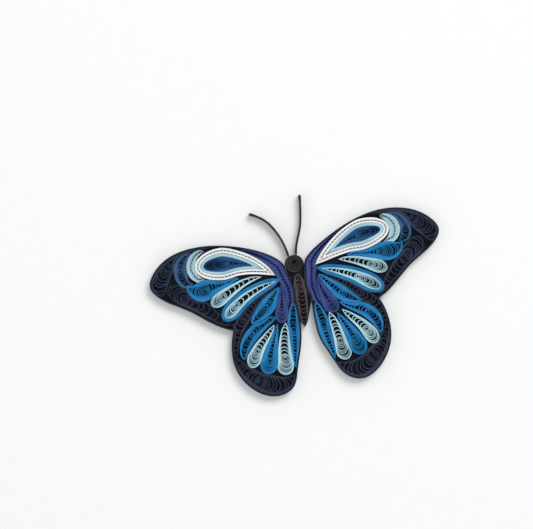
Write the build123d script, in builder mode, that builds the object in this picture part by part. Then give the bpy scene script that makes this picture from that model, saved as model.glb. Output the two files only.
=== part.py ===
from build123d import *
import os
from collections import namedtuple
from math import cos, pi, sin

# A butterfly of rolled paper strips. It lies flat, with the strips standing on edge, the head
# towards +Y and the right wing towards +X. Every roll is one strip, wound up, pinched to shape and
# glued to its neighbours. Its turns lie pressed together along both flanks and part along the middle.

# Paper and glue, in millimetres
strip_height = 3.0
glue_gap = 0.12
base_thickness = 0.3
base_margin = 0.25
rim_thickness = 0.45
outline_tolerance = 0.06

# How the turns of a roll part: chevrons towards a tip, crescents towards a round heel, and dashes
# where a roll is pressed flat
turn_pitch = 2.55
turn_gap = 0.65
flank_wall = 0.4
open_share = 0.6
chevron_slope = 0.9
crescent_slope = 0.45
crescent_flat = 0.55
eye_share = 0.3
eye_squash = 0.8
eye_setback = 0.6
smallest_opening = 0.12
dash_length = 1.7
dash_pitch = 2.6
dash_width = 0.34

# Wraps round the two large drops of a forewing
white_wrap = 1.6
sky_wrap = 0.85
blue_wrap = 0.85

# Head, abdomen and antennae
head_diameter = 5.9
head_turns = 3.5
head_slot = 0.28
head_wall = 0.4
abdomen_length = 16.7
abdomen_width = 3.7
abdomen_lean = 0.4
abdomen_fat = 0.3
abdomen_taper = 0.5
antenna_thickness = 0.75
antenna_club = 0.95
antenna_club_length = 2.0

# Straight facets that stand for one flank, one half of a round heel, the eye of a roll, one turn of
# the head and one antenna, how much the facets of a flank crowd towards its tip, and how often the
# search for a tip halves its range
flank_facets = 4
heel_facets = 4
eye_facets = 6
head_facets = 10
antenna_facets = 7
facet_crowding = 1.4
tip_halvings = 20

# A roll is drawn by the line down its middle from its tip, its greatest width, how far along that
# width lies (fat), how quickly it is reached (taper, lower is plumper), and whether it ends in a
# round heel or in a second tip. Places are measured in the plane of the wing.
Roll = namedtuple("Roll", "name spine width fat taper round_heel")
Wing = namedtuple("Wing", "side root fore hind rolls")

# Rolls listed first keep their shape, and those after them are pressed against them
left_wing = Wing(
    side=-1,
    root=(-3.05, 10.4),
    fore=[(-1.5, 0.0), (-1.55, 4.5), (-2.75, 8.7), (-3.05, 10.4), (-4.9, 12.9), (-8.5, 15.4), (-18.0, 19.2),
          (-30.0, 20.8), (-38.5, 19.0), (-43.8, 14.8), (-45.4, 11.0), (-43.0, 7.1), (-35.0, 1.8),
          (-27.0, -4.3), (-22.2, -6.7)],
    hind=[(-22.2, -6.7), (-23.6, -11.5), (-23.4, -19.0), (-19.0, -26.0), (-12.0, -29.1), (-6.8, -27.2),
          (-4.5, -21.8), (-1.9, -13.5), (-1.2, -7.0), (-1.5, 0.0)],
    rolls=[
        Roll("white_drop", [(-6.4, 7.9), (-12.0, 11.7), (-18.0, 13.8), (-24.0, 14.4), (-30.6, 14.1)],
             10.0, 0.66, 0.78, True),
        Roll("ringed_drop", [(-5.2, 6.6), (-11.0, 5.1), (-16.0, 3.2), (-20.5, 0.3), (-24.5, -2.9)],
             5.4, 0.80, 0.38, True),
        Roll("small_pale_drop", [(-10.6, 8.3), (-16.0, 7.6), (-21.0, 5.5), (-24.5, 3.7), (-27.4, 2.0)],
             4.2, 0.82, 0.66, True),
        Roll("shoulder_drop", [(-5.1, 5.4), (-5.5, 1.5), (-6.1, -2.0), (-6.8, -7.0)], 4.2, 0.76, 0.85, True),
        Roll("upper_leaf", [(-6.0, 4.3), (-8.6, 0.8), (-11.4, -1.8), (-16.4, -5.6)], 4.9, 0.50, 0.75, False),
        Roll("curved_leaf", [(-8.4, -5.0), (-12.3, -6.0), (-16.3, -8.6), (-19.4, -12.2), (-20.4, -16.4)],
             4.1, 0.52, 0.58, False),
        Roll("outer_pale_drop", [(-9.4, -7.0), (-13.0, -11.0), (-16.2, -14.6), (-18.2, -19.1)],
             4.4, 0.80, 0.60, True),
        Roll("hind_blue_drop", [(-8.3, -6.8), (-10.6, -12.0), (-12.5, -17.0), (-13.9, -21.8)],
             5.4, 0.80, 0.72, True),
        Roll("inner_pale_drop", [(-5.8, -7.0), (-7.2, -13.0), (-7.9, -18.0), (-8.2, -23.0)],
             5.1, 0.82, 0.50, True),
        Roll("inner_leaf", [(-2.2, -1.4), (-3.2, -6.5), (-3.7, -12.0), (-4.3, -17.0), (-4.9, -21.4)],
             4.4, 0.48, 0.68, False),
        Roll("blue_wedge", [(-17.6, 9.0), (-24.0, 8.1), (-29.2, 7.0), (-34.2, 9.2)], 6.4, 0.68, 1.0, False),
        Roll("sky_crescent", [(-27.0, 19.2), (-30.5, 17.9), (-31.9, 14.3), (-30.5, 11.0), (-27.0, 9.8)],
             2.7, 0.50, 0.60, False),
        Roll("royal_crescent", [(-31.2, 19.0), (-34.3, 17.0), (-35.3, 13.4), (-34.4, 10.4), (-32.0, 9.8)],
             4.2, 0.55, 0.65, False),
        Roll("shoulder_band", [(-15.9, 17.6), (-11.0, 14.8), (-6.6, 11.3), (-4.1, 7.9), (-3.3, 4.0),
                               (-3.2, 0.0), (-3.8, -3.4), (-5.0, -6.8)], 3.7, 0.42, 0.60, False),
        Roll("tip_coil", [(-25.5, 20.0), (-33.0, 19.8), (-38.2, 17.6), (-41.4, 14.0), (-42.6, 10.6),
                          (-42.6, 7.5)], 6.0, 0.72, 1.0, True),
        Roll("edge_coil", [(-21.6, -5.2), (-25.5, -2.8), (-29.5, 1.1), (-34.5, 5.6), (-40.2, 9.4)],
             5.6, 0.78, 0.62, True),
        Roll("tail_coil", [(-5.2, -23.2), (-8.6, -26.2), (-13.2, -25.8), (-17.8, -23.6), (-21.2, -20.0),
                           (-22.7, -15.0)], 6.9, 0.44, 0.60, False),
        Roll("margin_coil", [(-7.0, 4.3), (-12.0, 1.7), (-17.2, -2.5), (-20.6, -6.3), (-22.4, -10.5),
                             (-22.6, -15.6)], 3.8, 0.52, 0.70, False),
    ],
)
right_wing = Wing(
    side=1,
    root=(3.05, 10.4),
    fore=[(3.1, 0.0), (2.2, 4.5), (2.85, 8.7), (3.05, 10.4), (4.6, 12.5), (9.0, 15.6), (18.0, 20.1),
          (28.5, 22.6), (38.0, 21.3), (44.0, 17.4), (46.1, 13.4), (43.5, 9.3), (36.0, 4.4),
          (28.0, -2.2), (24.2, -4.5)],
    hind=[(24.2, -4.5), (25.8, -9.5), (25.5, -18.0), (21.5, -24.7), (14.6, -28.2), (9.6, -25.8),
          (6.6, -20.3), (3.8, -13.5), (3.2, -7.0), (3.1, 0.0)],
    rolls=[
        Roll("white_drop", [(6.2, 9.2), (12.0, 12.6), (18.0, 15.1), (24.0, 16.3), (30.9, 16.5)],
             9.5, 0.64, 0.78, True),
        Roll("ringed_drop", [(6.5, 8.2), (12.0, 6.4), (17.5, 4.0), (21.5, 1.4), (25.9, -2.0)],
             5.7, 0.76, 0.46, True),
        Roll("small_pale_drop", [(13.7, 9.5), (18.5, 8.5), (23.0, 6.6), (28.2, 4.1)], 4.1, 0.80, 0.60, True),
        Roll("shoulder_drop", [(6.3, 5.8), (7.0, 1.8), (8.2, -1.6), (10.3, -6.4)], 4.8, 0.74, 0.78, True),
        Roll("upper_leaf", [(6.8, 6.2), (9.7, 2.1), (12.9, -0.9), (18.6, -4.5)], 4.6, 0.50, 0.75, False),
        Roll("curved_leaf", [(11.6, -3.5), (15.3, -5.2), (19.0, -7.2), (22.0, -10.6), (22.6, -15.2)],
             4.2, 0.60, 0.66, False),
        Roll("outer_pale_drop", [(12.1, -5.9), (16.0, -10.0), (18.8, -13.4), (20.6, -18.1)],
             4.4, 0.78, 0.60, True),
        Roll("hind_blue_drop", [(10.3, -6.6), (12.8, -11.6), (14.6, -15.8), (16.0, -20.7)],
             5.4, 0.78, 0.68, True),
        Roll("inner_pale_drop", [(8.0, -6.0), (9.3, -11.0), (10.2, -16.0), (10.7, -21.5)],
             4.9, 0.82, 0.50, True),
        Roll("inner_leaf", [(4.4, -2.2), (5.4, -7.5), (6.1, -12.5), (6.8, -17.0), (7.3, -20.9)],
             4.4, 0.48, 0.68, False),
        Roll("blue_wedge", [(16.4, 10.3), (22.0, 10.1), (28.0, 9.5), (30.6, 9.6), (34.2, 11.4)],
             5.9, 0.72, 0.95, False),
        Roll("sky_crescent", [(28.6, 20.6), (31.7, 18.8), (32.6, 16.2), (31.5, 13.4), (28.0, 12.2)],
             3.3, 0.50, 0.60, False),
        Roll("royal_crescent", [(30.6, 20.6), (33.9, 19.2), (35.6, 16.4), (35.5, 13.3), (33.2, 12.0)],
             3.6, 0.60, 0.65, False),
        Roll("shoulder_band", [(15.9, 18.6), (11.0, 15.6), (6.6, 12.3), (4.5, 9.0), (4.0, 5.0),
                               (4.4, 1.0), (5.4, -2.3), (8.0, -6.2)], 3.9, 0.42, 0.60, False),
        Roll("tip_coil", [(24.5, 21.8), (33.0, 21.6), (38.4, 19.3), (41.7, 15.8), (43.5, 12.6),
                          (44.1, 9.9)], 6.2, 0.68, 1.0, True),
        Roll("edge_coil", [(24.6, -3.6), (28.2, 0.7), (32.2, 4.6), (36.6, 8.4), (40.0, 12.0)],
             5.8, 0.76, 0.68, True),
        Roll("tail_coil", [(7.7, -21.7), (11.0, -24.8), (15.6, -24.8), (20.0, -22.4), (23.4, -18.6),
                           (25.0, -12.4)], 7.1, 0.46, 0.60, False),
        Roll("margin_coil", [(7.6, 5.9), (12.5, 2.8), (17.2, -0.9), (21.3, -4.2), (24.0, -7.6),
                             (25.0, -12.6)], 3.5, 0.54, 0.70, False),
    ],
)
dashed_rolls = ("shoulder_band", "sky_crescent", "royal_crescent")

# Antennae: the angle round the head at which each leaves it, and its path from there
left_antenna_angle = 116
left_antenna_path = [(0.0, 0.0), (-0.7, 3.4), (-1.7, 6.3), (-3.1, 9.1), (-4.7, 11.4), (-7.0, 13.4),
                     (-9.9, 14.9)]
right_antenna_angle = 69
right_antenna_path = [(0.0, 0.0), (0.65, 2.9), (1.95, 6.3), (2.9, 9.0), (3.55, 12.5), (4.05, 15.9),
                      (4.15, 18.1)]


def curve_through(points):
    """Smooth line through the points."""
    with BuildLine() as line:
        Spline(*points)
    return line.edge()


def shifted(points, by):
    """Points moved in the plane."""
    return [(x + by[0], y + by[1]) for x, y in points]


def at(spine, along, aside):
    """Point a share along a spine and a distance to its left. Past its ends the spine runs straight."""
    share = min(max(along, 0.0), 1.0)
    ahead = spine.tangent_at(share)
    point = spine.position_at(share) + ahead * (along - share) * spine.length
    return (point.X - ahead.Y * aside, point.Y + ahead.X * aside)


def ribbon(spine, stations):
    """Closed outline round a spine, from (share along, half width) stations."""
    left = [at(spine, along, half) for along, half in stations]
    right = [at(spine, along, -half) for along, half in reversed(stations) if half > 0]
    return left + right


def heel_reach(roll, grow):
    """Share of the length from the widest place of a roll to the end of its round heel."""
    return 1 - roll.fat + grow / roll.spine.length


def half_width(roll, along, grow=0.0):
    """Half a roll's width at a share of its length, grown or shrunk all round."""
    if along <= roll.fat:
        rise = along / roll.fat
        plump = rise if roll.round_heel else sin(pi / 2 * rise)
        return roll.width / 2 * plump**roll.taper + grow
    if roll.round_heel:
        fall = (along - roll.fat) / heel_reach(roll, grow)
        return (roll.width / 2 + grow) * max(1 - fall**2, 0.0) ** 0.5
    fall = (along - roll.fat) / (1 - roll.fat)
    return roll.width / 2 * cos(pi / 2 * fall) ** roll.taper + grow


def tip_share(roll, grow, end):
    """Where a shrunk roll comes to a point, searched from its widest place to its start or end."""
    wide, narrow = roll.fat, end
    if grow >= 0:
        return end
    for _ in range(tip_halvings):
        middle = (wide + narrow) / 2
        if half_width(roll, middle, grow) > 0:
            wide = middle
        else:
            narrow = middle
    return wide


def flank(roll, grow, end):
    """Stations from one tip of a roll to its widest place. A grown tip is blunt."""
    tip = tip_share(roll, grow, end)
    towards = 1 if end > roll.fat else -1
    spread = max(grow, 0.0)
    stations = [(tip + towards * spread / roll.spine.length, 0.0)]
    if spread:
        stations.append((tip, spread))
    for step in range(1, flank_facets + 1):
        along = tip + (roll.fat - tip) * (step / flank_facets) ** facet_crowding
        stations.append((along, half_width(roll, along, grow)))
    return stations


def heel(roll, grow):
    """Stations round the heel of a roll, after its widest place."""
    turns = [pi / 2 * step / heel_facets for step in range(1, heel_facets)]
    reach = heel_reach(roll, grow)
    around = [(roll.fat + reach * sin(turn), (roll.width / 2 + grow) * cos(turn)) for turn in turns]
    return around + [(roll.fat + reach, 0.0)]


def outline(roll, grow=0.0):
    """Corners of a roll's outline, grown or shrunk all round."""
    start = flank(roll, grow, 0.0)
    end = heel(roll, grow) if roll.round_heel else flank(roll, grow, 1.0)[-2::-1]
    return ribbon(roll.spine, start + end)


def turn_openings(roll, depth=0.0):
    """Gaps between the turns of a roll in a row along its middle, from the eye to both ends.

    depth is how far the roll lies inside the outline that it is drawn by.
    """
    length = roll.spine.length
    eye = roll.fat - (eye_setback / length if roll.round_heel else 0.0)
    eye_half = eye_share * (roll.width / 2 - depth)
    eye_turns = [2 * pi * k / eye_facets for k in range(eye_facets)]
    gaps = [[(eye + eye_half * cos(a) / length, eye_half * eye_squash * sin(a)) for a in eye_turns]]
    for towards in (-1, 1):
        pointed = towards < 0 or not roll.round_heel
        along = eye + towards * (eye_half + turn_gap) / length
        while 0 < along < 1:
            wide = half_width(roll, along, -depth)
            half = min(wide * open_share, wide - flank_wall)
            flat = 0.0 if pointed else half * crescent_flat
            near = along + towards * half * (chevron_slope if pointed else crescent_slope) / length
            far = near + towards * turn_gap / length
            wall = far + towards * flank_wall / length
            if half < turn_gap / 2 or not 0 < wall < 1 or half_width(roll, wall, -depth) < flat:
                break
            if pointed:
                gaps.append([(along, half), (far, 0.0), (along, -half), (near, 0.0)])
            else:
                gaps.append([(along, half), (far, flat), (far, -flat),
                             (along, -half), (near, -flat), (near, flat)])
            along += towards * turn_pitch / length
    return [[at(roll.spine, share, aside) for share, aside in gap] for gap in gaps]


def dashes(spine):
    """Short slots in a row along a spine, where the two sides of a flattened roll part."""
    count = int(spine.length / dash_pitch)
    half_length = dash_length / 2 / spine.length
    middles = [(k + 0.5) / count for k in range(count)]
    ends = [(middle - half_length, middle + half_length) for middle in middles]
    return [ribbon(spine, [(start, dash_width / 2), (end, dash_width / 2)]) for start, end in ends]


def wrap_dashes(roll, wrap):
    """Short slots midway through a wrap, one in each facet of its outline."""
    outer = outline(roll, -(wrap - dash_width) / 2)
    inner = outline(roll, -(wrap + dash_width) / 2)
    start = (1 - dash_length / dash_pitch) / 2
    sides = [(outer, start), (outer, 1 - start), (inner, 1 - start), (inner, start)]
    slots = []
    for k in range(len(outer)):
        ends = [(line[k - 1], line[k], share) for line, share in sides]
        slots.append([(a[0] + (b[0] - a[0]) * share, a[1] + (b[1] - a[1]) * share) for a, b, share in ends])
    return slots


def inset(corners, depth):
    """Closed outline moved inwards, or outwards by a negative depth. Its corners run anticlockwise."""
    moved = []
    for before, here, after in zip(corners[-1:] + corners[:-1], corners, corners[1:] + corners[:1]):
        into = Vector(here[0] - before[0], here[1] - before[1]).normalized()
        out = Vector(after[0] - here[0], after[1] - here[1]).normalized()
        stretch = depth / (1 + into.dot(out))
        moved.append((here[0] - (into.Y + out.Y) * stretch, here[1] + (into.X + out.X) * stretch))
    return moved


def wing_outline(wing):
    """Outline of a whole wing, anticlockwise, from its two smooth edges."""
    corners = []
    for edge in (wing.fore, wing.hind):
        points = curve_through(edge).positions(deflection=outline_tolerance)
        corners += [(point.X, point.Y) for point in points[:-1]]
    return corners if wing.side < 0 else corners[::-1]


def antenna_outline(angle, path):
    """A strip on edge that leaves the head and ends in a small folded club."""
    foot = Vector(head_diameter / 2 + glue_gap, 0).rotate(Axis.Z, angle)
    spine = curve_through(shifted(path, (foot.X, foot.Y)))
    neck = 1 - antenna_club_length / spine.length
    stations = [(neck * k / antenna_facets, antenna_thickness / 2) for k in range(antenna_facets + 1)]
    stations += [((neck + 1) / 2, antenna_club / 2), (1.0, antenna_thickness / 2)]
    return ribbon(spine, stations)


# Layout: the head's centre is the start, and each wing's root touches the side of the head
wings = {}
for name, wing in (("left", left_wing), ("right", right_wing)):
    seat = wing.side * (head_diameter / 2 + glue_gap)
    move = (seat - wing.root[0], -wing.root[1])
    wings[name] = wing._replace(
        fore=shifted(wing.fore, move),
        hind=shifted(wing.hind, move),
        rolls=[roll._replace(spine=curve_through(shifted(roll.spine, move))) for roll in wing.rolls],
    )
edges = {name: wing_outline(wing) for name, wing in wings.items()}
antennae = {
    "left": antenna_outline(left_antenna_angle, left_antenna_path),
    "right": antenna_outline(right_antenna_angle, right_antenna_path),
}

# The part's origin lies under the middle of the whole butterfly
everything = edges["left"] + edges["right"] + antennae["left"] + antennae["right"]
middle_x = (min(x for x, y in everything) + max(x for x, y in everything)) / 2
middle_y = (min(y for x, y in everything) + max(y for x, y in everything)) / 2


def level(height):
    """Drawing plane at a height, with the layout's start in its place."""
    return Plane((-middle_x, -middle_y, height))


def finish(piece, name):
    """Label a piece and write it out."""
    piece.part.label = name
    export_step(piece.part, f"parts/{name}.step")


def make_roll(name, height, shape, hollow=None, openings=(), limit=None, pressed_by=()):
    """Stand a roll up from its outline, with its hollow and the gaps between its turns.

    It is kept inside a limit. pressed_by holds pairs of a neighbour's outline, grown by the glue
    gap for the roll and by a flank wall more for the gaps.
    """
    with BuildSketch() as gaps:
        for corners in openings:
            Polygon(*corners)
        if openings and limit:
            Polygon(*inset(limit, flank_wall), mode=Mode.INTERSECT)
        for _, wider in pressed_by if openings else ():
            Polygon(*wider, mode=Mode.SUBTRACT)
    with BuildPart() as piece:
        with BuildSketch(level(height)) as profile:
            Polygon(*shape)
            if limit:
                Polygon(*limit, mode=Mode.INTERSECT)
            for close, _ in pressed_by:
                Polygon(*close, mode=Mode.SUBTRACT)
            if hollow:
                Polygon(*hollow, mode=Mode.SUBTRACT)
            for gap in gaps.faces():
                if gap.area > smallest_opening:
                    add(gap, mode=Mode.SUBTRACT)
        extrude(profile.sketch.faces().sort_by(SortBy.AREA)[-1], amount=strip_height)
    finish(piece, name)


os.makedirs("parts", exist_ok=True)

for name, wing in wings.items():
    edge = edges[name]
    room = inset(edge, rim_thickness + glue_gap)

    # Dark card under the wing, and dark strips wrapped round it
    with BuildPart() as wing_base:
        with BuildSketch(level(0)):
            Polygon(*inset(edge, base_margin))
        extrude(amount=base_thickness)
    finish(wing_base, f"{name}_wing_base")

    with BuildPart() as wing_rim:
        with BuildSketch(level(base_thickness)):
            Polygon(*edge)
            Polygon(*inset(edge, rim_thickness), mode=Mode.SUBTRACT)
        extrude(amount=strip_height)
    finish(wing_rim, f"{name}_wing_rim")

    # Rolls inside the rim. The two large drops of the forewing are a core with wraps round it
    placed = []
    for roll in wing.rolls:
        if roll.name == "white_drop":
            sky_outside = white_wrap + glue_gap
            sky_inside = sky_outside + sky_wrap
            core = sky_inside + glue_gap
            make_roll(f"{name}_white_wrap", base_thickness, outline(roll), outline(roll, -white_wrap),
                      wrap_dashes(roll, white_wrap), room, placed)
            make_roll(f"{name}_sky_wrap", base_thickness, outline(roll, -sky_outside),
                      outline(roll, -sky_inside))
            make_roll(f"{name}_deep_blue_drop", base_thickness, outline(roll, -core),
                      openings=turn_openings(roll, core))
        elif roll.name == "ringed_drop":
            core = blue_wrap + glue_gap
            make_roll(f"{name}_blue_wrap", base_thickness, outline(roll), outline(roll, -blue_wrap),
                      limit=room, pressed_by=placed)
            make_roll(f"{name}_wrapped_pale_drop", base_thickness, outline(roll, -core),
                      openings=turn_openings(roll, core))
        else:
            gaps = dashes(roll.spine) if roll.name in dashed_rolls else turn_openings(roll)
            make_roll(f"{name}_{roll.name}", base_thickness, outline(roll), None, gaps, room, placed)
        placed.append((outline(roll, glue_gap), outline(roll, glue_gap + flank_wall)))

    with BuildPart() as antenna:
        with BuildSketch(level(0)):
            Polygon(*antennae[name])
        extrude(amount=strip_height)
    finish(antenna, f"{name}_antenna")

# Head: a round roll with one slot that winds from its eye to its last turn
slot_steps = round(head_turns * head_facets)
slot_growth = (head_diameter / 2 - head_wall - head_slot) / slot_steps
slot_line = [(2 * pi * k / head_facets, slot_growth * k) for k in range(slot_steps + 1)]
with BuildPart() as head:
    with BuildSketch(level(0)):
        Circle(head_diameter / 2)
        inner_side = [(r * cos(a), r * sin(a)) for a, r in slot_line]
        outer_side = [((r + head_slot) * cos(a), (r + head_slot) * sin(a)) for a, r in slot_line]
        Polygon(*outer_side, *reversed(inner_side), mode=Mode.SUBTRACT)
    extrude(amount=strip_height)
finish(head, "head")

# Abdomen: a long leaf under the head, pressed between the two wings
abdomen_top = -head_diameter / 2 - glue_gap
abdomen_line = [(abdomen_lean, abdomen_top), (abdomen_lean, abdomen_top - abdomen_length / 2),
                (0.0, abdomen_top - abdomen_length)]
abdomen = Roll("abdomen", curve_through(abdomen_line), abdomen_width, abdomen_fat, abdomen_taper,
               False)
beside = [(inset(edge, -glue_gap), inset(edge, -glue_gap - flank_wall)) for edge in edges.values()]
make_roll("abdomen", 0, outline(abdomen), openings=turn_openings(abdomen), pressed_by=beside)
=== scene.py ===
import math
from collections import namedtuple

import bpy
import numpy as np
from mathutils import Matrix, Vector, noise


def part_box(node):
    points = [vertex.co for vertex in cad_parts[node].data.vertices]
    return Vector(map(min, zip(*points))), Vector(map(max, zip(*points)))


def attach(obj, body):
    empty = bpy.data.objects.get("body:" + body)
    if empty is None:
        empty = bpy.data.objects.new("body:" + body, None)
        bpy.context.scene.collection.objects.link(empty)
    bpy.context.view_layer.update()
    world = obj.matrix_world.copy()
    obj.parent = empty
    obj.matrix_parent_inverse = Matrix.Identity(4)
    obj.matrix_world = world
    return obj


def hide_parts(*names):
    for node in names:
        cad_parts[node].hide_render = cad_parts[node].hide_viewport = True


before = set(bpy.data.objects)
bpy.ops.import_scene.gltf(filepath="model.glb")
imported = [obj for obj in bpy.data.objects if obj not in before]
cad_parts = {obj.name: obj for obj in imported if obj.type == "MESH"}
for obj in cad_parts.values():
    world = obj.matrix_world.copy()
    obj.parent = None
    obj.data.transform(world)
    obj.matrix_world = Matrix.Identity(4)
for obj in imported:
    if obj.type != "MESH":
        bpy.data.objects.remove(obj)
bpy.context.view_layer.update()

# Wing bases: thin dark card cut to the outline of each wing, under all the rolls.
# It is matte, with short fibres, and the strips stand on it in a film of clear glue.
CARD_DARK = (18, 23, 35)
CARD_LIGHT = (30, 36, 52)
FIBRE_SCALE = 5200.0
FIBRE_DETAIL = 5.0
FIBRE_SHARPNESS = 0.65
FIBRE_SHARE = 0.4
FIBRE_STRENGTH = 0.25
FIBRE_HEIGHT = 0.00003
DRIFT_SCALE = 240.0
DRIFT_DETAIL = 2.0
TONE_LOW, TONE_HIGH = 0.34, 0.66
# Painted shade: the gain below darkens a strip's steep faces, down in the gaps, against its cut edges. The
# two tilts bound that mask by how far a surface faces up.
FACE_SHADE_GAIN = 0.98
FACE_TILT, EDGE_TILT = 0.5, 0.85
PAPER_ROUGHNESS = 0.84
FIBRE_SMOOTHNESS = 0.12
PAPER_SHINE = 0.28


class Ink:
    """A socket in a material. Arithmetic on it adds Math nodes."""

    def __init__(self, tree, socket=None):
        self.tree = tree
        self.socket = socket

    def node(self, kind, settings=None, sockets=None, output=0):
        """Add a node: its settings first, then the values or links of its sockets."""
        made = self.tree.nodes.new(kind)
        for key, value in (settings or {}).items():
            setattr(made, key, value)
        for key, value in (sockets or {}).items():
            if isinstance(value, Ink):
                self.tree.links.new(value.socket, made.inputs[key])
            else:
                made.inputs[key].default_value = value
        return Ink(self.tree, made.outputs[output] if made.outputs else None)

    def maths(self, operation, first, second):
        return self.node("ShaderNodeMath", {"operation": operation}, {0: first, 1: second})

    def __add__(self, other):
        return self.maths("ADD", self, other)

    def __radd__(self, other):
        return self.maths("ADD", other, self)

    def __sub__(self, other):
        return self.maths("SUBTRACT", self, other)

    def __rsub__(self, other):
        return self.maths("SUBTRACT", other, self)

    def __mul__(self, other):
        return self.maths("MULTIPLY", self, other)

    def __rmul__(self, other):
        return self.maths("MULTIPLY", other, self)

    def blend(self, first, second):
        """Mix two colours by this value."""
        return self.node("ShaderNodeMix", {"data_type": "RGBA"}, {0: self, 6: first, 7: second}, 2)


def linear(colour, gain=1.0):
    """A colour given as it looks on a screen, 0 to 255, as the shader's linear numbers."""
    shares = [min(part / 255 * gain, 1.0) for part in colour]
    return [s / 12.92 if s <= 0.04045 else ((s + 0.055) / 1.055) ** 2.4 for s in shares] + [1.0]


def paper(name, dark, light):
    """Dyed paper with short fibres and a drift between two shades. Its steep faces are painted a shade darker
    than its cut edges.
    """
    material = bpy.data.materials.new(name)
    material.use_nodes = True
    material.node_tree.nodes.clear()
    ink = Ink(material.node_tree)
    place = ink.node("ShaderNodeTexCoord", output="Object")
    fibres = ink.node("ShaderNodeTexNoise", None, {
        "Vector": place, "Scale": FIBRE_SCALE, "Detail": FIBRE_DETAIL, "Roughness": FIBRE_SHARPNESS})
    drift = ink.node("ShaderNodeTexNoise", None, {
        "Vector": place, "Scale": DRIFT_SCALE, "Detail": DRIFT_DETAIL})
    facing = ink.node("ShaderNodeNewGeometry", output="Normal")
    upward = ink.node("ShaderNodeSeparateXYZ", None, {0: facing}, "Z")
    # Painted shade mask: 0 on the steep faces, 1 on the cut edges on top.
    cut_edge = ink.node("ShaderNodeMapRange", None, {
        "Value": upward, "From Min": FACE_TILT, "From Max": EDGE_TILT})
    shade = FIBRE_SHARE * fibres + (1 - FIBRE_SHARE) * drift
    tone = ink.node("ShaderNodeMapRange", None, {"Value": shade, "From Min": TONE_LOW, "From Max": TONE_HIGH})
    edge = tone.blend(linear(dark), linear(light))
    # The steep faces get the darkened colour, which is painted shade.
    face = tone.blend(linear(dark, FACE_SHADE_GAIN), linear(light, FACE_SHADE_GAIN))
    relief = ink.node("ShaderNodeBump", None, {
        "Strength": FIBRE_STRENGTH, "Distance": FIBRE_HEIGHT, "Height": fibres})
    shader = ink.node("ShaderNodeBsdfPrincipled", None, {
        "Base Color": cut_edge.blend(face, edge),
        "Roughness": PAPER_ROUGHNESS - FIBRE_SMOOTHNESS * fibres,
        "Specular IOR Level": PAPER_SHINE,
        "Normal": relief,
    })
    ink.node("ShaderNodeOutputMaterial", None, {"Surface": shader})
    return material


# This dark card also makes the body's sheet of painted shade, further down.
dark_card_and_painted_shade = paper("dark card", CARD_DARK, CARD_LIGHT)
for side in ("left", "right"):
    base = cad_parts[f"{side}_wing_base"]
    base.data.materials.clear()
    base.data.materials.append(dark_card_and_painted_shade)

# Wing rims: three turns of navy strip wound tightly round each wing, standing on the base.
# Each wing is held together by them, and their cut edges make its dark outline. Their navy is painted darker
# than the coils' navy, as shade on their tops, which stand at full height.
RIM_TURNS = 3
RIM_PAPER = 0.00015
RIM_STEP = 0.0002
RING_POINTS = 3000
RING_STEP = 0.02
GLUE_REACH = 0.00005
OUTLINE_SKIN = 0.00001
SAME_PLACE = 1e-7
SAME_HEIGHT = 1e-6
RIPPLE_SCALE = 900.0
RIPPLE_DEPTH = 0.00003
# Painted shade: the rim's navy is darker than the coils' navy.
SHADED_RIM_DARK = (17, 21, 31)
SHADED_RIM_LIGHT = (30, 36, 51)


def top_loops(node):
    """Closed lines round the top of a solid, the outline first, anticlockwise, then its openings."""
    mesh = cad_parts[node].data
    places = np.array([v.co for v in mesh.vertices])
    top = places[:, 2].max()
    keys = [tuple(np.round(place / SAME_PLACE).astype(int)) for place in places]
    seen = {}
    for face in mesh.polygons:
        if all(places[i][2] > top - SAME_HEIGHT for i in face.vertices):
            corners = [keys[i] for i in face.vertices]
            for a, b in zip(corners, corners[1:] + corners[:1]):
                seen[frozenset((a, b))] = None if frozenset((a, b)) in seen else (a, b)
    onward = dict(pair for pair in seen.values() if pair)
    loops = []
    while onward:
        start, here = onward.popitem()
        loop = [start]
        while here != start:
            loop.append(here)
            here = onward.pop(here)
        loops.append(np.array(loop)[:, :2] * SAME_PLACE)

    def area(loop):
        after = np.roll(loop, -1, 0)
        return abs((loop[:, 0] * after[:, 1] - loop[:, 1] * after[:, 0]).sum())

    return sorted(loops, key=area, reverse=True)


def rounded(loop, corner=48.0, merge=0.00018, steps=10, stretch=1.3):
    """Smooth closed line through the corners of a loop. Corners that turn sharply stay sharp.

    stretch is how far a bend may reach along a side, in lengths of the side before or after it.
    """
    kept = [p for p, q in zip(loop, np.roll(loop, 1, 0)) if np.linalg.norm(p - q) > merge]
    ahead = np.roll(kept, -1, 0) - kept
    behind = kept - np.roll(kept, 1, 0)
    turn = np.arctan2(behind[:, 0] * ahead[:, 1] - behind[:, 1] * ahead[:, 0], (behind * ahead).sum(1))
    sharp = np.abs(turn) > math.radians(corner)
    reach_ahead = np.linalg.norm(ahead, axis=1)[:, None]
    reach_behind = np.linalg.norm(behind, axis=1)[:, None]
    slope = (behind / reach_behind * reach_ahead + ahead / reach_ahead * reach_behind)
    slope /= reach_ahead + reach_behind
    line = []
    for i, start in enumerate(kept):
        j = (i + 1) % len(kept)
        run = reach_ahead[i]
        leave = ahead[i] if sharp[i] else slope[i] * min(run, stretch * reach_behind[i])
        arrive = ahead[i] if sharp[j] else slope[j] * min(run, stretch * reach_ahead[j])
        for t in np.arange(steps) / steps:
            line.append((2 * t**3 - 3 * t**2 + 1) * start + (t**3 - 2 * t**2 + t) * leave
                        + (3 * t**2 - 2 * t**3) * kept[j] + (t**3 - t**2) * arrive)
    return np.array(line)


def swollen(loop, reach=GLUE_REACH):
    """A closed line moved off its solid, to where the strips meet in the glue between two rolls."""
    ahead = np.roll(loop, -1, 0) - np.roll(loop, 1, 0)
    return loop + reach * ahead[:, ::-1] * (1, -1) / np.linalg.norm(ahead, axis=1)[:, None]


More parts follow.
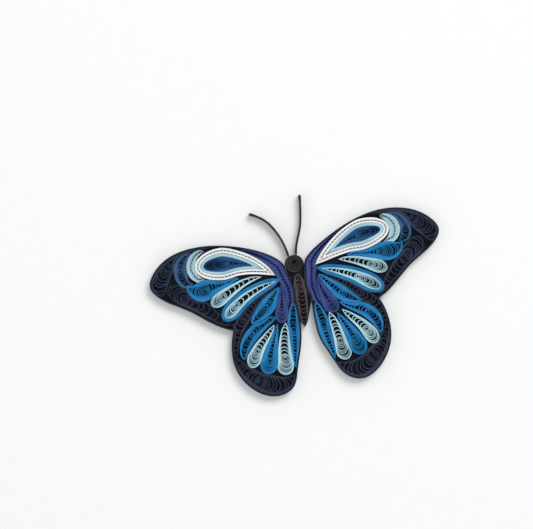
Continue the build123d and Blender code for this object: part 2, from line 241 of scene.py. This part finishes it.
def lengths(line):
    """Distances along an open line."""
    return np.concatenate([[0.0], np.cumsum(np.linalg.norm(np.diff(line, axis=0), axis=1))])


def along(line, shares):
    """Points at shares of the length of an open line."""
    run = lengths(line)
    at = np.asarray(shares) * run[-1]
    return np.stack([np.interp(at, run, line[:, axis]) for axis in (0, 1)], axis=1)


def started_at(loop, place):
    """A closed line begun, and ended, at its point nearest to a place."""
    first = np.linalg.norm(loop - place, axis=1).argmin()
    return np.concatenate([loop[first:], loop[:first + 1]])


def stand_strip(node, path, thickness, material, dish=0.0, dish_reach=0.0024, lift=0.0):
    """Stand a paper strip on edge along a path, in place of a solid.

    A ring of edges is opened and bent to the path, drawn up to the strip's height and thickened, by
    one thickness or one for each point of the path. dish is how much lower the middle of the roll
    lies than its outline, and lift is the height of what the strip stands on.
    """
    low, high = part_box(node)
    low.z += lift
    bpy.ops.object.select_all(action="DESELECT")
    bpy.ops.mesh.primitive_circle_add(vertices=len(path), radius=high.z)
    strip = bpy.context.object
    strip.name = f"{node}_strip"
    strip.data.name = strip.name
    foot = np.column_stack([path, np.full(len(path), low.z)])
    strip.data.vertices.foreach_set("co", foot.ravel())
    thickest = float(np.max(thickness))
    weights = strip.vertex_groups.new(name="thickness")
    for i, share in enumerate(np.broadcast_to(thickness, len(path)) / thickest):
        weights.add([i], float(share), "REPLACE")
    bpy.context.tool_settings.mesh_select_mode = (False, True, False)
    for edge in strip.data.edges:
        edge.select = set(edge.vertices) == {0, len(path) - 1}
    bpy.ops.object.mode_set(mode="EDIT")
    bpy.ops.mesh.delete(type="EDGE")
    bpy.ops.mesh.select_all(action="SELECT")
    bpy.ops.mesh.extrude_region_move(TRANSFORM_OT_translate={"value": (0, 0, high.z - low.z)})
    bpy.ops.object.mode_set(mode="OBJECT")
    bpy.ops.object.modifier_add(type="SOLIDIFY")
    wall = strip.modifiers[-1]
    wall.thickness = thickest
    wall.offset = 0.0
    wall.vertex_group = weights.name
    bpy.ops.object.modifier_apply(modifier=wall.name)
    strip.vertex_groups.clear()
    outline = rounded(top_loops(node)[0])
    for vertex in strip.data.vertices:
        if vertex.co.z > (low.z + high.z) / 2:
            flat = np.array(vertex.co.xy)
            inward = min(np.linalg.norm(outline - flat, axis=1).min() / dish_reach, 1.0)
            ripple = 0.5 + 0.5 * noise.noise(Vector((*flat, low.x + low.y)) * RIPPLE_SCALE)
            vertex.co.z = high.z - dish * inward - RIPPLE_DEPTH * ripple
    bpy.ops.object.mode_set(mode="EDIT")
    bpy.ops.mesh.select_all(action="SELECT")
    bpy.ops.mesh.normals_make_consistent(inside=False)
    bpy.ops.object.mode_set(mode="OBJECT")
    strip.data.materials.append(material)
    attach(strip, "root")
    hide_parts(node)


def ring_path(outer, inner, turns, step):
    """Path of a strip wound from an outer line to an inner one. It steps in at the end of each turn."""
    samples = np.linspace(0, turns, int(turns * lengths(outer)[-1] / step), endpoint=False)
    turn = np.floor(samples)
    inward = np.clip((samples - turn - 1) / RING_STEP + 1, 0, 1)
    depth = ((np.minimum(turn + inward, turns - 1) + 0.5) / turns)[:, None]
    outside = along(outer, samples % 1.0)
    inside = along(inner, np.linspace(0, 1, RING_POINTS))
    nearest = np.linalg.norm(outside[:, None] - inside[None], axis=2).argmin(1)
    return outside * (1 - depth) + inside[nearest] * depth


shaded_rim_paper = paper("shaded rim paper", SHADED_RIM_DARK, SHADED_RIM_LIGHT)
head_middle = np.mean([corner.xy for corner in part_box("head")], axis=0)
for side in ("left", "right"):
    node = f"{side}_wing_rim"
    outer, inner = [rounded(loop, steps=4) for loop in top_loops(node)[:2]]
    outer = started_at(swollen(outer, -OUTLINE_SKIN), head_middle)
    inner = started_at(swollen(inner)[::-1], head_middle)
    rim = ring_path(outer, inner, RIM_TURNS, RIM_STEP)
    stand_strip(node, rim, RIM_PAPER, shaded_rim_paper)

# Large drops: a deep-blue strip wound up, let go a little and pinched at one end.
# Its turns lie pressed along both flanks, and part along the middle between the eye and the ends.
DEEP_BLUE_DARK = (14, 64, 112)
DEEP_BLUE_LIGHT = (36, 92, 142)
DEEP_BLUE_TURNS = 9
DEEP_BLUE_EYE = 0.52
DEEP_BLUE_CORE = 0.30
TIP_PAPER = 0.00024
HEEL_PAPER = 0.00015
PRESSED_PAPER = 0.96
LOOSE_PAPER = 0.66
TURN_SAMPLES = 140
PRESSED_TURNS = 2.0
WOBBLE = 0.4
WOBBLE_RATE = 4.1
WOBBLE_SHIFT = 9.0
CURL_TURNS = 1.5
CURL_PITCH = 0.0004
EYE_HOLE = 0.00028
EYE_LENGTH = 1.2
TIP_BOW = 0.95
TIP_ROUND = 1.9
HEEL_ROUND = 2.0
ROLL_DISH = 0.0006
CORNER_REACH = 0.002
CORNER_TURN = 60.0
CORNER_SPAN = 3
FLANK_SMOOTHING = 10

Middle = namedtuple("Middle", "line across run width")


def smoothed(row, reach=18):
    """A row of places with its kinks evened out and its ends kept."""
    kernel = np.hanning(2 * reach + 3)[1:-1]
    padded = np.pad(row, ((reach, reach), (0, 0)), mode="reflect", reflect_type="odd")
    return np.stack([np.convolve(column, kernel / kernel.sum(), "valid") for column in padded.T], axis=1)


def headings(line):
    """Unit directions along a line."""
    steps = np.gradient(smoothed(line), axis=0)
    return steps / np.linalg.norm(steps, axis=1)[:, None]


def met(flank, line, ahead):
    """Where lines square to a middle line meet one flank, in order from end to end."""
    apart = flank[None] - line[:, None]
    beyond = (apart * ahead[:, None]).sum(2)
    passing = (beyond[:, :-1] <= 0) & (beyond[:, 1:] > 0)
    distance = np.where(passing, np.linalg.norm(apart, axis=2)[:, :-1], np.inf)
    nearest, rows = distance.argmin(1), np.arange(len(line))
    before, after = beyond[rows, nearest], beyond[rows, nearest + 1]
    found = np.isfinite(distance[rows, nearest])
    share = (nearest + before / np.where(found, before - after, 1.0)) / (len(flank) - 1)
    share[[0, -1]], found[[0, -1]] = (0.0, 1.0), True
    share = np.maximum.accumulate(np.interp(rows, rows[found], share[found]))
    return along(flank, smoothed(share[:, None], FLANK_SMOOTHING)[:, 0])


def end_of(loop, place, ahead, pinched):
    """Number of the point where a middle line that runs on straight ends on its roll's outline.

    A pinched end is drawn to the sharpest corner nearby.
    """
    after = np.roll(loop, -1, 0)
    aside = (loop - place) @ (-ahead[1], ahead[0])
    further = (loop - place) @ ahead
    crossing = (aside * ((after - place) @ (-ahead[1], ahead[0])) <= 0) & (further > 0)
    hit = np.where(crossing, further, np.inf).argmin()
    into, out = loop - np.roll(loop, CORNER_SPAN, 0), np.roll(loop, -CORNER_SPAN, 0) - loop
    turn = np.abs(np.arctan2(into[:, 0] * out[:, 1] - into[:, 1] * out[:, 0], (into * out).sum(1)))
    turn[np.linalg.norm(loop - loop[hit], axis=1) > CORNER_REACH] = 0.0
    return turn.argmax() if pinched and turn.max() > math.radians(CORNER_TURN) else hit


def middle_line(node, round_heel, glue=GLUE_REACH, stations=240, passes=5, unsure=24):
    """Line down the middle of a roll from its sharper end on, with its normals, lengths and half widths."""
    loop = swollen(rounded(top_loops(node)[0]), glue)
    shares = np.linspace(0, 1, stations)

    def flanks(first, last):
        turned = np.roll(loop, -first, 0)
        cut = (last - first) % len(loop)
        back = np.concatenate([turned[cut:], turned[:1]])
        return along(back[::-1], shares), along(turned[:cut + 1], shares)

    spread = np.linalg.norm(loop[:, None] - loop[None], axis=2)
    first, last = np.unravel_index(spread.argmax(), spread.shape)
    left, right = flanks(first, last)
    widths = np.linalg.norm(left - right, axis=1)
    if widths[:stations // 4].sum() > widths[-stations // 4:].sum():
        first, last = last, first
        left, right = right[::-1], left[::-1]
    line = smoothed((left + right) / 2)
    for _ in range(passes):
        ahead = headings(line)
        line = smoothed((met(left, line, ahead) + met(right, line, ahead)) / 2)[unsure:-unsure]
        ahead = headings(line)
        first = end_of(loop, line[0], -ahead[0], True)
        last = end_of(loop, line[-1], ahead[-1], not round_heel)
        line = smoothed(along(np.concatenate([loop[[first]], line, loop[[last]]]), shares))
        left, right = flanks(first, last)
    ahead = headings(line)
    left, right = met(left, line, ahead), met(right, line, ahead)
    line = (left + right) / 2
    width = np.linalg.norm(left - right, axis=1) / 2
    across = left - right + GLUE_REACH * ahead[:, ::-1] * (-1, 1)
    return Middle(line, across / np.linalg.norm(across, axis=1)[:, None], lengths(line), width)


def arched(distance, bow, beside, power):
    """Most half width of a turn near its end: an arch as deep as bow that meets the flanks beside it."""
    over = np.clip(1 - distance / bow, 0, 1)
    return np.where(over > 0, beside * (1 - over**power) ** (1 / power), np.inf)


def wind(middle, turn, inset, start, end, layer, round_heel):
    """Points of a strip that goes up one flank and down the other each turn, and how free it is there.

    inset is its distance from the outline, and start and end are where each turn crosses the middle.
    """
    least = layer / 2

    def flank(at, widths):
        return np.maximum(np.interp(at, middle.run, widths) - inset, least)

    phase = turn % 1.0
    here = start + (end - start) * (1 - np.cos(2 * math.pi * phase)) / 2
    open_ended = np.maximum.accumulate(middle.width) if round_heel else middle.width
    beside = flank(here, open_ended)
    tip_bow = TIP_BOW * flank(start, middle.width)
    tip_arch = arched(here - start, tip_bow, flank(start + tip_bow, middle.width), TIP_ROUND)
    if round_heel:
        widest = middle.width.argmax()
        slant = (middle.run[-1] - middle.run[widest]) / middle.width[widest]
        heel_bow = slant * flank(end, open_ended)
        heel_arch = arched(end - here, heel_bow, flank(end - heel_bow, open_ended), HEEL_ROUND)
    else:
        heel_bow = TIP_BOW * flank(end, middle.width)
        heel_arch = arched(end - here, heel_bow, flank(end - heel_bow, middle.width), TIP_ROUND)
    aside = np.minimum.reduce([beside, tip_arch, heel_arch])
    limit = np.maximum(np.interp(here, middle.run, middle.width) - least, 0)
    free = np.clip((beside - aside) / layer, 0, 1)
    aside = np.where(phase < 0.5, 1, -1) * np.minimum(aside, limit)
    line = np.stack([np.interp(here, middle.run, middle.line[:, axis]) for axis in (0, 1)], axis=1)
    across = np.stack([np.interp(here, middle.run, middle.across[:, axis]) for axis in (0, 1)], axis=1)
    return line + across * aside[:, None], free


def roll_path(node, turns, eye, core, round_heel=False, arc_paper=(TIP_PAPER, HEEL_PAPER)):
    """Path and thickness of a strip wound inside a roll's outline, from its outer end to its eye.

    eye is the share of the length at which the eye lies, and core the share of the half width that
    the flanks leave open there. The first turns stay pressed all round, and the last end in a curl.
    arc_paper is how thick the strip looks where it crosses the roll on either side of the eye.
    """
    middle = middle_line(node, round_heel)
    length, widest = middle.run[-1], middle.width.argmax()
    eye_at = eye * length
    eye_half = np.interp(eye_at, middle.run, middle.width)
    layer = eye_half * (1 - core) / turns
    curl = max(CURL_TURNS, (eye_half * core - EYE_HOLE) / CURL_PITCH)
    turn = np.linspace(0, turns + curl, int((turns + curl) * TURN_SAMPLES))
    insets = [layer / 2, eye_half * (1 - core), eye_half - EYE_HOLE]
    inset = np.interp(turn, [0, turns, turns + curl], insets)
    tight = (np.minimum(turn, PRESSED_TURNS) + 0.5) * layer
    start = np.interp(tight, np.maximum.accumulate(middle.width[:widest + 1]), middle.run[:widest + 1])
    end = length - tight
    if not round_heel:
        end = np.interp(-tight, -np.minimum.accumulate(middle.width[widest:]), middle.run[widest:])
    loose = np.clip((turn - PRESSED_TURNS) / (turns - PRESSED_TURNS), 0, 1)
    reach = EYE_LENGTH * (eye_half - np.maximum(inset, eye_half * (1 - core)))
    uneven = WOBBLE * np.sin(turn * WOBBLE_RATE + WOBBLE_SHIFT * eye) * loose * (1 - loose) * length / turns
    start += loose * (eye_at - reach - start) + uneven
    end += loose * (eye_at + reach - end) + uneven
    path, free = wind(middle, turn, inset, start, end, layer, round_heel)
    packed = layer * np.interp(turn, [PRESSED_TURNS, turns], [PRESSED_PAPER, LOOSE_PAPER])
    arc = np.interp(np.cos(2 * math.pi * turn), [-1, 1], arc_paper[::-1])
    return path, packed + (arc - packed) * free


deep_blue_paper = paper("deep blue paper", DEEP_BLUE_DARK, DEEP_BLUE_LIGHT)
for side in ("left", "right"):
    node = f"{side}_deep_blue_drop"
    path, thickness = roll_path(node, DEEP_BLUE_TURNS, DEEP_BLUE_EYE, DEEP_BLUE_CORE, True)
    stand_strip(node, path, thickness, deep_blue_paper, ROLL_DISH)

# Sky wraps: a pale blue strip wound six times round each large drop, tightly, and glued at its end.
# It starts at the drop's pinched tip, where its turns stand out in a point.
SKY_DARK = (158, 202, 220)
SKY_LIGHT = (186, 222, 233)
SKY_TURNS = 6
SKY_LAYER = 0.00013
WRAP_STEP = 0.0002


def wrap_lines(node):
    """Outer and inner line of a wrap, both begun at its tip and running the same way."""
    outer, inner = [swollen(rounded(loop)) for loop in top_loops(node)[:2]]
    tip = outer[np.linalg.norm(outer - inner.mean(0), axis=1).argmax()]
    return started_at(outer, tip), started_at(inner[::-1], tip)


sky_paper = paper("sky paper", SKY_DARK, SKY_LIGHT)
for side in ("left", "right"):
    node = f"{side}_sky_wrap"
    path = ring_path(*wrap_lines(node), SKY_TURNS, WRAP_STEP)
    stand_strip(node, path, SKY_LAYER, sky_paper)

# White wraps: one long white strip laid round the sky wrap of each large drop.
# Four turns lie flat inside and outside, and a crimped turn between them leaves a row of slits.
WHITE_DARK = (238, 240, 240)
WHITE_LIGHT = (250, 251, 251)
WHITE_TURNS = 4
WHITE_LAYER = 0.000125
WHITE_OUTSIDE = (0.04, 0.36)
WHITE_CRIMP = (0.42, 0.58)
WHITE_INSIDE = (0.64, 0.96)
CRIMP_PITCH = 0.0013
CRIMP_RIDGE = 0.00012


def crimped(length, pitch, ridge):
    """Distances along a crimped strip, and how far across its slit it stands there, 0 or 1."""
    count = round(length / pitch)
    ridges = (np.arange(count) + 0.5) * length / count
    around = np.array([-pitch / 2, -pitch / 4, -ridge, -ridge / 2, ridge / 2, ridge, pitch / 4])
    return (ridges[:, None] + around).ravel(), np.tile([0, 0, 0, 1, 1, 0, 0], count)


white_paper = paper("white paper", WHITE_DARK, WHITE_LIGHT)
for side in ("left", "right"):
    node = f"{side}_white_wrap"
    outer, inner = wrap_lines(node)
    length = lengths(outer)[-1]
    flat = np.linspace(0, WHITE_TURNS, int(WHITE_TURNS * length / WRAP_STEP), endpoint=False)
    run, across = crimped(length, CRIMP_PITCH, CRIMP_RIDGE)
    share = np.concatenate([flat % 1.0, run / length, flat % 1.0])
    depth = np.concatenate([
        np.interp(flat, [0, WHITE_TURNS], WHITE_OUTSIDE),
        np.interp(across, [0, 1], WHITE_CRIMP),
        np.interp(flat, [0, WHITE_TURNS], WHITE_INSIDE),
    ])[:, None]
    path = along(outer, share) * (1 - depth) + along(inner, share) * depth
    stand_strip(node, path, WHITE_LAYER, white_paper)

# Sky crescents: a pale blue strip wound flat, with its last stretch crimped along the slit.
# It is bent round the heel of the large drop and glued to its white wrap.
CRESCENT_LAYER = 0.00016
CRESCENT_SLIT = 0.00046
CRESCENT_PITCH = 0.00105
SLIT_RIDGE = 0.0002
RIDGE_PAPER = 1.7
THIN_PAPER = 1 / 3


def slit_path(node, layer, slit, pitch=None, loose=LOOSE_PAPER, glue=GLUE_REACH):
    """Path and thickness of a strip wound flat round a slit, from its outer end in.

    With a pitch, its last stretch is crimped along the slit.
    """
    middle = middle_line(node, False, glue)
    room, length = middle.width.max(), middle.run[-1]
    turns = round((room - slit / 2) / layer)
    turn = np.linspace(0, turns, turns * TURN_SAMPLES, endpoint=False)
    depth = (turn + 0.5) / (turns + 0.5)
    start, end = depth * room, length - depth * room

    def flank(at):
        return np.interp(at, middle.run, middle.width) * (1 - depth) + slit / 2 * depth

    here = start + (end - start) * (1 - np.cos(2 * math.pi * turn)) / 2
    start_bow, end_bow = flank(start), flank(end)
    aside = np.minimum.reduce([
        flank(here),
        arched(here - start, start_bow, flank(start + start_bow), TIP_ROUND),
        arched(end - here, end_bow, flank(end - end_bow), TIP_ROUND),
    ])
    aside *= np.where(turn % 1.0 < 0.5, 1, -1)
    if pitch:
        run, across = crimped(length - 2 * room - slit, pitch, SLIT_RIDGE)
        here = np.concatenate([here, room + slit / 2 + run])
        aside = np.concatenate([aside, (across - 0.5) * (slit - layer)])
        depth = np.concatenate([depth, np.ones(len(run))])
    line = np.stack([np.interp(here, middle.run, middle.line[:, axis]) for axis in (0, 1)], axis=1)
    normal = np.stack([np.interp(here, middle.run, middle.across[:, axis]) for axis in (0, 1)], axis=1)
    packed = (np.interp(here, middle.run, middle.width) - slit / 2) / (turns + 0.5)
    packed = np.clip(packed, THIN_PAPER * layer, layer) * np.interp(depth, [0, 1], [PRESSED_PAPER, loose])
    if pitch:
        packed[-len(run):] *= np.interp(across, [0, 1], [1.0, RIDGE_PAPER])
    return line + normal * aside[:, None], packed


for side in ("left", "right"):
    node = f"{side}_sky_crescent"
    path, thickness = slit_path(node, CRESCENT_LAYER, CRESCENT_SLIT, CRESCENT_PITCH)
    stand_strip(node, path, thickness, sky_paper, ROLL_DISH)

# Royal crescents: a royal-blue strip wound up and pinched at both ends.
# It is bent round the sky crescent and glued to it.
ROYAL_DARK = (38, 74, 112)
ROYAL_LIGHT = (60, 100, 142)
ROYAL_TURNS = 9
ROYAL_EYE = 0.5
ROYAL_CORE = 0.28

royal_paper = paper("royal paper", ROYAL_DARK, ROYAL_LIGHT)
for side in ("left", "right"):
    node = f"{side}_royal_crescent"
    path, thickness = roll_path(node, ROYAL_TURNS, ROYAL_EYE, ROYAL_CORE)
    stand_strip(node, path, thickness, royal_paper, ROLL_DISH)

# Pale drops: four aqua strips in each wing, wound up, let go and pinched at one end.
# The second largest has a wrap of its own, and the others stand between their neighbours.
PALE_DARK = (158, 203, 217)
PALE_LIGHT = (191, 228, 237)
PALE_CORE = 0.5
PALE_PAPER = (0.00022, 0.00014)
PALE_ROLLS = [
    ("left_wrapped_pale_drop", 9, 0.74), ("right_wrapped_pale_drop", 10, 0.60),
    ("left_small_pale_drop", 9, 0.76), ("right_small_pale_drop", 8, 0.67),
    ("left_outer_pale_drop", 9, 0.66), ("right_outer_pale_drop", 9, 0.66),
    ("left_inner_pale_drop", 10, 0.69), ("right_inner_pale_drop", 9, 0.62),
]

pale_paper = paper("pale paper", PALE_DARK, PALE_LIGHT)
for node, turns, eye in PALE_ROLLS:
    path, thickness = roll_path(node, turns, eye, PALE_CORE, True, PALE_PAPER)
    stand_strip(node, path, thickness, pale_paper, ROLL_DISH)

# Blue wraps: a mid-blue strip wound tightly round the second largest drop of each forewing.
# Its six turns are glued at the end, as those of the sky wrap are.
MID_BLUE_DARK = (4, 110, 166)
MID_BLUE_LIGHT = (38, 134, 195)
BLUE_TURNS = 6
BLUE_LAYER = 0.00013

mid_blue_paper = paper("mid blue paper", MID_BLUE_DARK, MID_BLUE_LIGHT)
for side in ("left", "right"):
    node = f"{side}_blue_wrap"
    path = ring_path(*wrap_lines(node), BLUE_TURNS, WRAP_STEP)
    stand_strip(node, path, BLUE_LAYER, mid_blue_paper)

# Blue rolls: mid-blue strips wound up. The drop is pinched at one end, and the leaves and the wedge
# at both. They are pressed in between the pale drops and glued to them.
LEAF_CORE = 0.3
WEDGE_CORE = 0.46
BLUE_ROLLS = [
    ("left_hind_blue_drop", 11, 0.74, LEAF_CORE, True),
    ("right_hind_blue_drop", 10, 0.64, LEAF_CORE, True),
    ("left_blue_wedge", 11, 0.66, WEDGE_CORE, False),
    ("right_blue_wedge", 11, 0.60, WEDGE_CORE, False),
    ("left_upper_leaf", 9, 0.52, LEAF_CORE, False),
    ("right_upper_leaf", 9, 0.57, LEAF_CORE, False),
    ("left_curved_leaf", 10, 0.5, LEAF_CORE, False),
    ("right_curved_leaf", 9, 0.54, LEAF_CORE, False),
    ("left_inner_leaf", 11, 0.52, LEAF_CORE, False),
    ("right_inner_leaf", 10, 0.51, LEAF_CORE, False),
]

for node, turns, eye, core, round_heel in BLUE_ROLLS:
    path, thickness = roll_path(node, turns, eye, core, round_heel)
    stand_strip(node, path, thickness, mid_blue_paper, ROLL_DISH)

# Shoulder rolls: two indigo rolls beside the body, a drop and a long band.
# The band is wound flat, with its last stretch crimped along the slit, and bent round the wing's root.
INDIGO_DARK = (43, 58, 116)
INDIGO_LIGHT = (66, 84, 149)
INDIGO_TURNS = 9
INDIGO_EYE = 0.69
INDIGO_CORE = 0.3
BAND_LAYER = 0.00019
BAND_SLIT = 0.00076
BAND_PITCH = 0.0011
BAND_LOOSE = 0.9

indigo_paper = paper("indigo paper", INDIGO_DARK, INDIGO_LIGHT)
for side in ("left", "right"):
    node = f"{side}_shoulder_drop"
    path, thickness = roll_path(node, INDIGO_TURNS, INDIGO_EYE, INDIGO_CORE, True)
    stand_strip(node, path, thickness, indigo_paper, ROLL_DISH)
    node = f"{side}_shoulder_band"
    path, thickness = slit_path(node, BAND_LAYER, BAND_SLIT, BAND_PITCH, BAND_LOOSE)
    stand_strip(node, path, thickness, indigo_paper, ROLL_DISH)

# Navy coils: loose rolls along the margins of each wing, with wide gaps between their turns.
# They are pinched at both ends, fill the room between the coloured rolls and the rim, and are glued to both.
NAVY_DARK = (30, 37, 54)
NAVY_LIGHT = (51, 61, 85)
NAVY_CORE = 0.58
NAVY_PAPER = (0.0003, 0.0003)
NAVY_COILS = [
    ("left_tip_coil", 9, 0.61), ("right_tip_coil", 9, 0.61),
    ("left_edge_coil", 10, 0.66), ("right_edge_coil", 10, 0.62),
    ("left_tail_coil", 10, 0.48), ("right_tail_coil", 10, 0.48),
    ("left_margin_coil", 11, 0.5), ("right_margin_coil", 11, 0.5),
]

navy_paper = paper("navy paper", NAVY_DARK, NAVY_LIGHT)
for node, turns, eye in NAVY_COILS:
    path, thickness = roll_path(node, turns, eye, NAVY_CORE, arc_paper=NAVY_PAPER)
    stand_strip(node, path, thickness, navy_paper, ROLL_DISH)

# Body sheet: a scrap of the dark card that joins the two wings, under the head and the abdomen. It is a dark
# sheet of painted shade, standing for the shadow between the body and the wings and in the gaps of the body's
# coils.
# It fills the room between the wings' roots and narrows to the tip of the abdomen.
SHADE_SHEET_HEIGHT = 0.00025
SHADE_SHEET_MARGIN = 0.0001
SHADE_SHEET_SPREAD = (120.0, 19.0)
SHADE_SHEET_GAP = 0.00003
SHADE_SHEET_STATIONS = 120


def crossings(loop, height):
    """Where a closed line crosses a height, measured along X."""
    after = np.roll(loop, -1, 0)
    passed = (loop[:, 1] - height) * (after[:, 1] - height) < 0
    share = (height - loop[passed, 1]) / (after[passed, 1] - loop[passed, 1])
    return loop[passed, 0] + share * (after[passed, 0] - loop[passed, 0])


head_line, abdomen_line, left_edge, right_edge = [
    rounded(top_loops(node)[0]) for node in ("head", "abdomen", "left_wing_rim", "right_wing_rim")]
abdomen_tip = abdomen_line[:, 1].min()
sides = []
for height in np.linspace(abdomen_tip, head_line[:, 1].max(), SHADE_SHEET_STATIONS)[1:-1]:
    if height > head_middle[1]:
        reach = crossings(head_line, height)
    else:
        left, right = [SHADE_SHEET_MARGIN + s * (height - abdomen_tip) ** 2 for s in SHADE_SHEET_SPREAD]
        middle = [*crossings(abdomen_line, height), *crossings(head_line, height)] or [head_middle[0]]
        reach = np.array([min(middle) - left, max(middle) + right])
    start = max([reach.min(), *(crossings(left_edge, height) + SHADE_SHEET_GAP)])
    end = min([reach.max(), *(crossings(right_edge, height) - SHADE_SHEET_GAP)])
    sides.append((start, end, height))
body_outline = [(end, height, 0.0) for start, end, height in sides]
body_outline += [(start, height, 0.0) for start, end, height in reversed(sides)]
bpy.ops.object.select_all(action="DESELECT")
bpy.ops.mesh.primitive_circle_add(vertices=len(body_outline), radius=SHADE_SHEET_HEIGHT, fill_type="NGON")
body_shade_sheet = bpy.context.object
body_shade_sheet.name = "body_shade_sheet"
body_shade_sheet.data.name = body_shade_sheet.name
body_shade_sheet.data.vertices.foreach_set("co", np.ravel(body_outline))
bpy.ops.object.modifier_add(type="SOLIDIFY")
slab = body_shade_sheet.modifiers[-1]
slab.thickness = SHADE_SHEET_HEIGHT
slab.offset = 1.0
bpy.ops.object.modifier_apply(modifier=slab.name)
body_shade_sheet.data.materials.append(dark_card_and_painted_shade)
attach(body_shade_sheet, "root")

# Head: a charcoal strip wound into a round coil, its middle pushed in a little.
# It stands on the body's painted-shade sheet between the two wings, above the abdomen.
HEAD_DARK = (48, 44, 43)
HEAD_LIGHT = (74, 68, 66)
HEAD_TURNS = 4
HEAD_PAPER = 0.00028
HEAD_EYE = 0.0007
HEAD_DISH = 0.0011
HEAD_EYE_OFF = (0.0001, 0.0006)

head_paper = paper("head paper", HEAD_DARK, HEAD_LIGHT)
head_low, head_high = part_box("head")
head_radius = (head_high.x - head_low.x) / 2
turn = np.linspace(0, HEAD_TURNS, int(HEAD_TURNS * TURN_SAMPLES))
radius = np.interp(turn, [0, HEAD_TURNS], [head_radius - HEAD_PAPER / 2, HEAD_EYE])
angle = 2 * math.pi * turn
coil = head_middle + np.outer(turn / HEAD_TURNS, HEAD_EYE_OFF)
coil += np.stack([radius * np.cos(angle), radius * np.sin(angle)], axis=1)
stand_strip("head", coil, HEAD_PAPER, head_paper,
            HEAD_DISH, head_radius, SHADE_SHEET_HEIGHT)

# Abdomen: a charcoal strip wound up and pinched at both ends into a long leaf.
# It stands on the body's painted-shade sheet under the head and between the wings.
CHARCOAL_DARK = (56, 52, 51)
CHARCOAL_LIGHT = (90, 84, 82)
ABDOMEN_TURNS = 10
ABDOMEN_EYE = 0.7
ABDOMEN_CORE = 0.44

charcoal_paper = paper("charcoal paper", CHARCOAL_DARK, CHARCOAL_LIGHT)
path, thickness = roll_path("abdomen", ABDOMEN_TURNS, ABDOMEN_EYE, ABDOMEN_CORE)
stand_strip("abdomen", path, thickness, charcoal_paper,
            ROLL_DISH, lift=SHADE_SHEET_HEIGHT)

# Antennae: a dark brown strip folded on itself and standing on edge.
# Each has a small folded club at its end, and is glued to the head by its foot.
BROWN_DARK = (30, 26, 24)
BROWN_LIGHT = (50, 45, 42)
ANTENNA_LAYER = 0.00018
ANTENNA_SLIT = 0.00003

dark_brown_paper = paper("dark brown paper", BROWN_DARK, BROWN_LIGHT)
for side in ("left", "right"):
    node = f"{side}_antenna"
    path, thickness = slit_path(
        node, ANTENNA_LAYER, ANTENNA_SLIT, loose=PRESSED_PAPER, glue=-OUTLINE_SKIN)
    stand_strip(node, path, thickness, dark_brown_paper)

# Floor: a plain pale sheet that reaches well beyond the object, just under its card.
# It is matte, so it shows only the butterfly's soft shadow.
FLOOR_SIZE = 3.0
FLOOR_DROP = 0.00002
FLOOR_DARK = (248, 249, 249)
FLOOR_LIGHT = (250, 251, 251)
bpy.ops.object.select_all(action="DESELECT")
bpy.ops.mesh.primitive_plane_add(size=FLOOR_SIZE, location=(0, 0, -FLOOR_DROP))
floor = bpy.context.object
floor.name = "floor"
floor.data.materials.append(paper("floor", FLOOR_DARK, FLOOR_LIGHT))

# Light: a broad soft lamp from above and to the right, a weaker one straight above that reaches
# down between the turns, and an even pale sky.
LAMP_DISTANCE = 2.0
SKY_LEVEL = 0.485
LAMPS = [("key lamp", (0.45, 0.5, 0.9), 1.1, 19.0), ("top lamp", (0.0, 0.0, 1.0), 0.66, 7.0)]
scene = bpy.context.scene
scene.view_settings.view_transform = "Standard"
world = bpy.data.worlds.new("pale sky")
scene.world = world
world.use_nodes = True
world.node_tree.nodes["Background"].inputs["Color"].default_value = (1, 1, 1, 1)
world.node_tree.nodes["Background"].inputs["Strength"].default_value = SKY_LEVEL
for name, direction, size, power in LAMPS:
    lamp_data = bpy.data.lights.new(name, "AREA")
    lamp_data.shape = "DISK"
    lamp_data.size = size
    lamp_data.energy = power
    lamp = bpy.data.objects.new(name, lamp_data)
    scene.collection.objects.link(lamp)
    lamp.location = Vector(direction).normalized() * LAMP_DISTANCE
    lamp.rotation_euler = lamp.location.to_track_quat("Z", "Y").to_euler()

# Camera: straight above, with a long lens, turned a little so that the butterfly lies at a slant.
# It aims beside the head, so the object keeps its place in the frame.
FRAME_WIDTH = 0.1661
CAMERA_HEIGHT = 0.9
CAMERA_TURN = -10.0
SENSOR_WIDTH = 36.0
AIM_OFF_HEAD = Vector((-0.00852, 0.00139, 0))
aim = (head_low + head_high) / 2 + AIM_OFF_HEAD
camera_data = bpy.data.cameras.new("camera")
camera_data.sensor_width = SENSOR_WIDTH
camera_data.lens = camera_data.sensor_width * CAMERA_HEIGHT / FRAME_WIDTH
camera = bpy.data.objects.new("camera", camera_data)
scene.collection.objects.link(camera)
camera.location = (aim.x, aim.y, CAMERA_HEIGHT)
camera.rotation_euler = (0, 0, math.radians(CAMERA_TURN))
scene.camera = camera
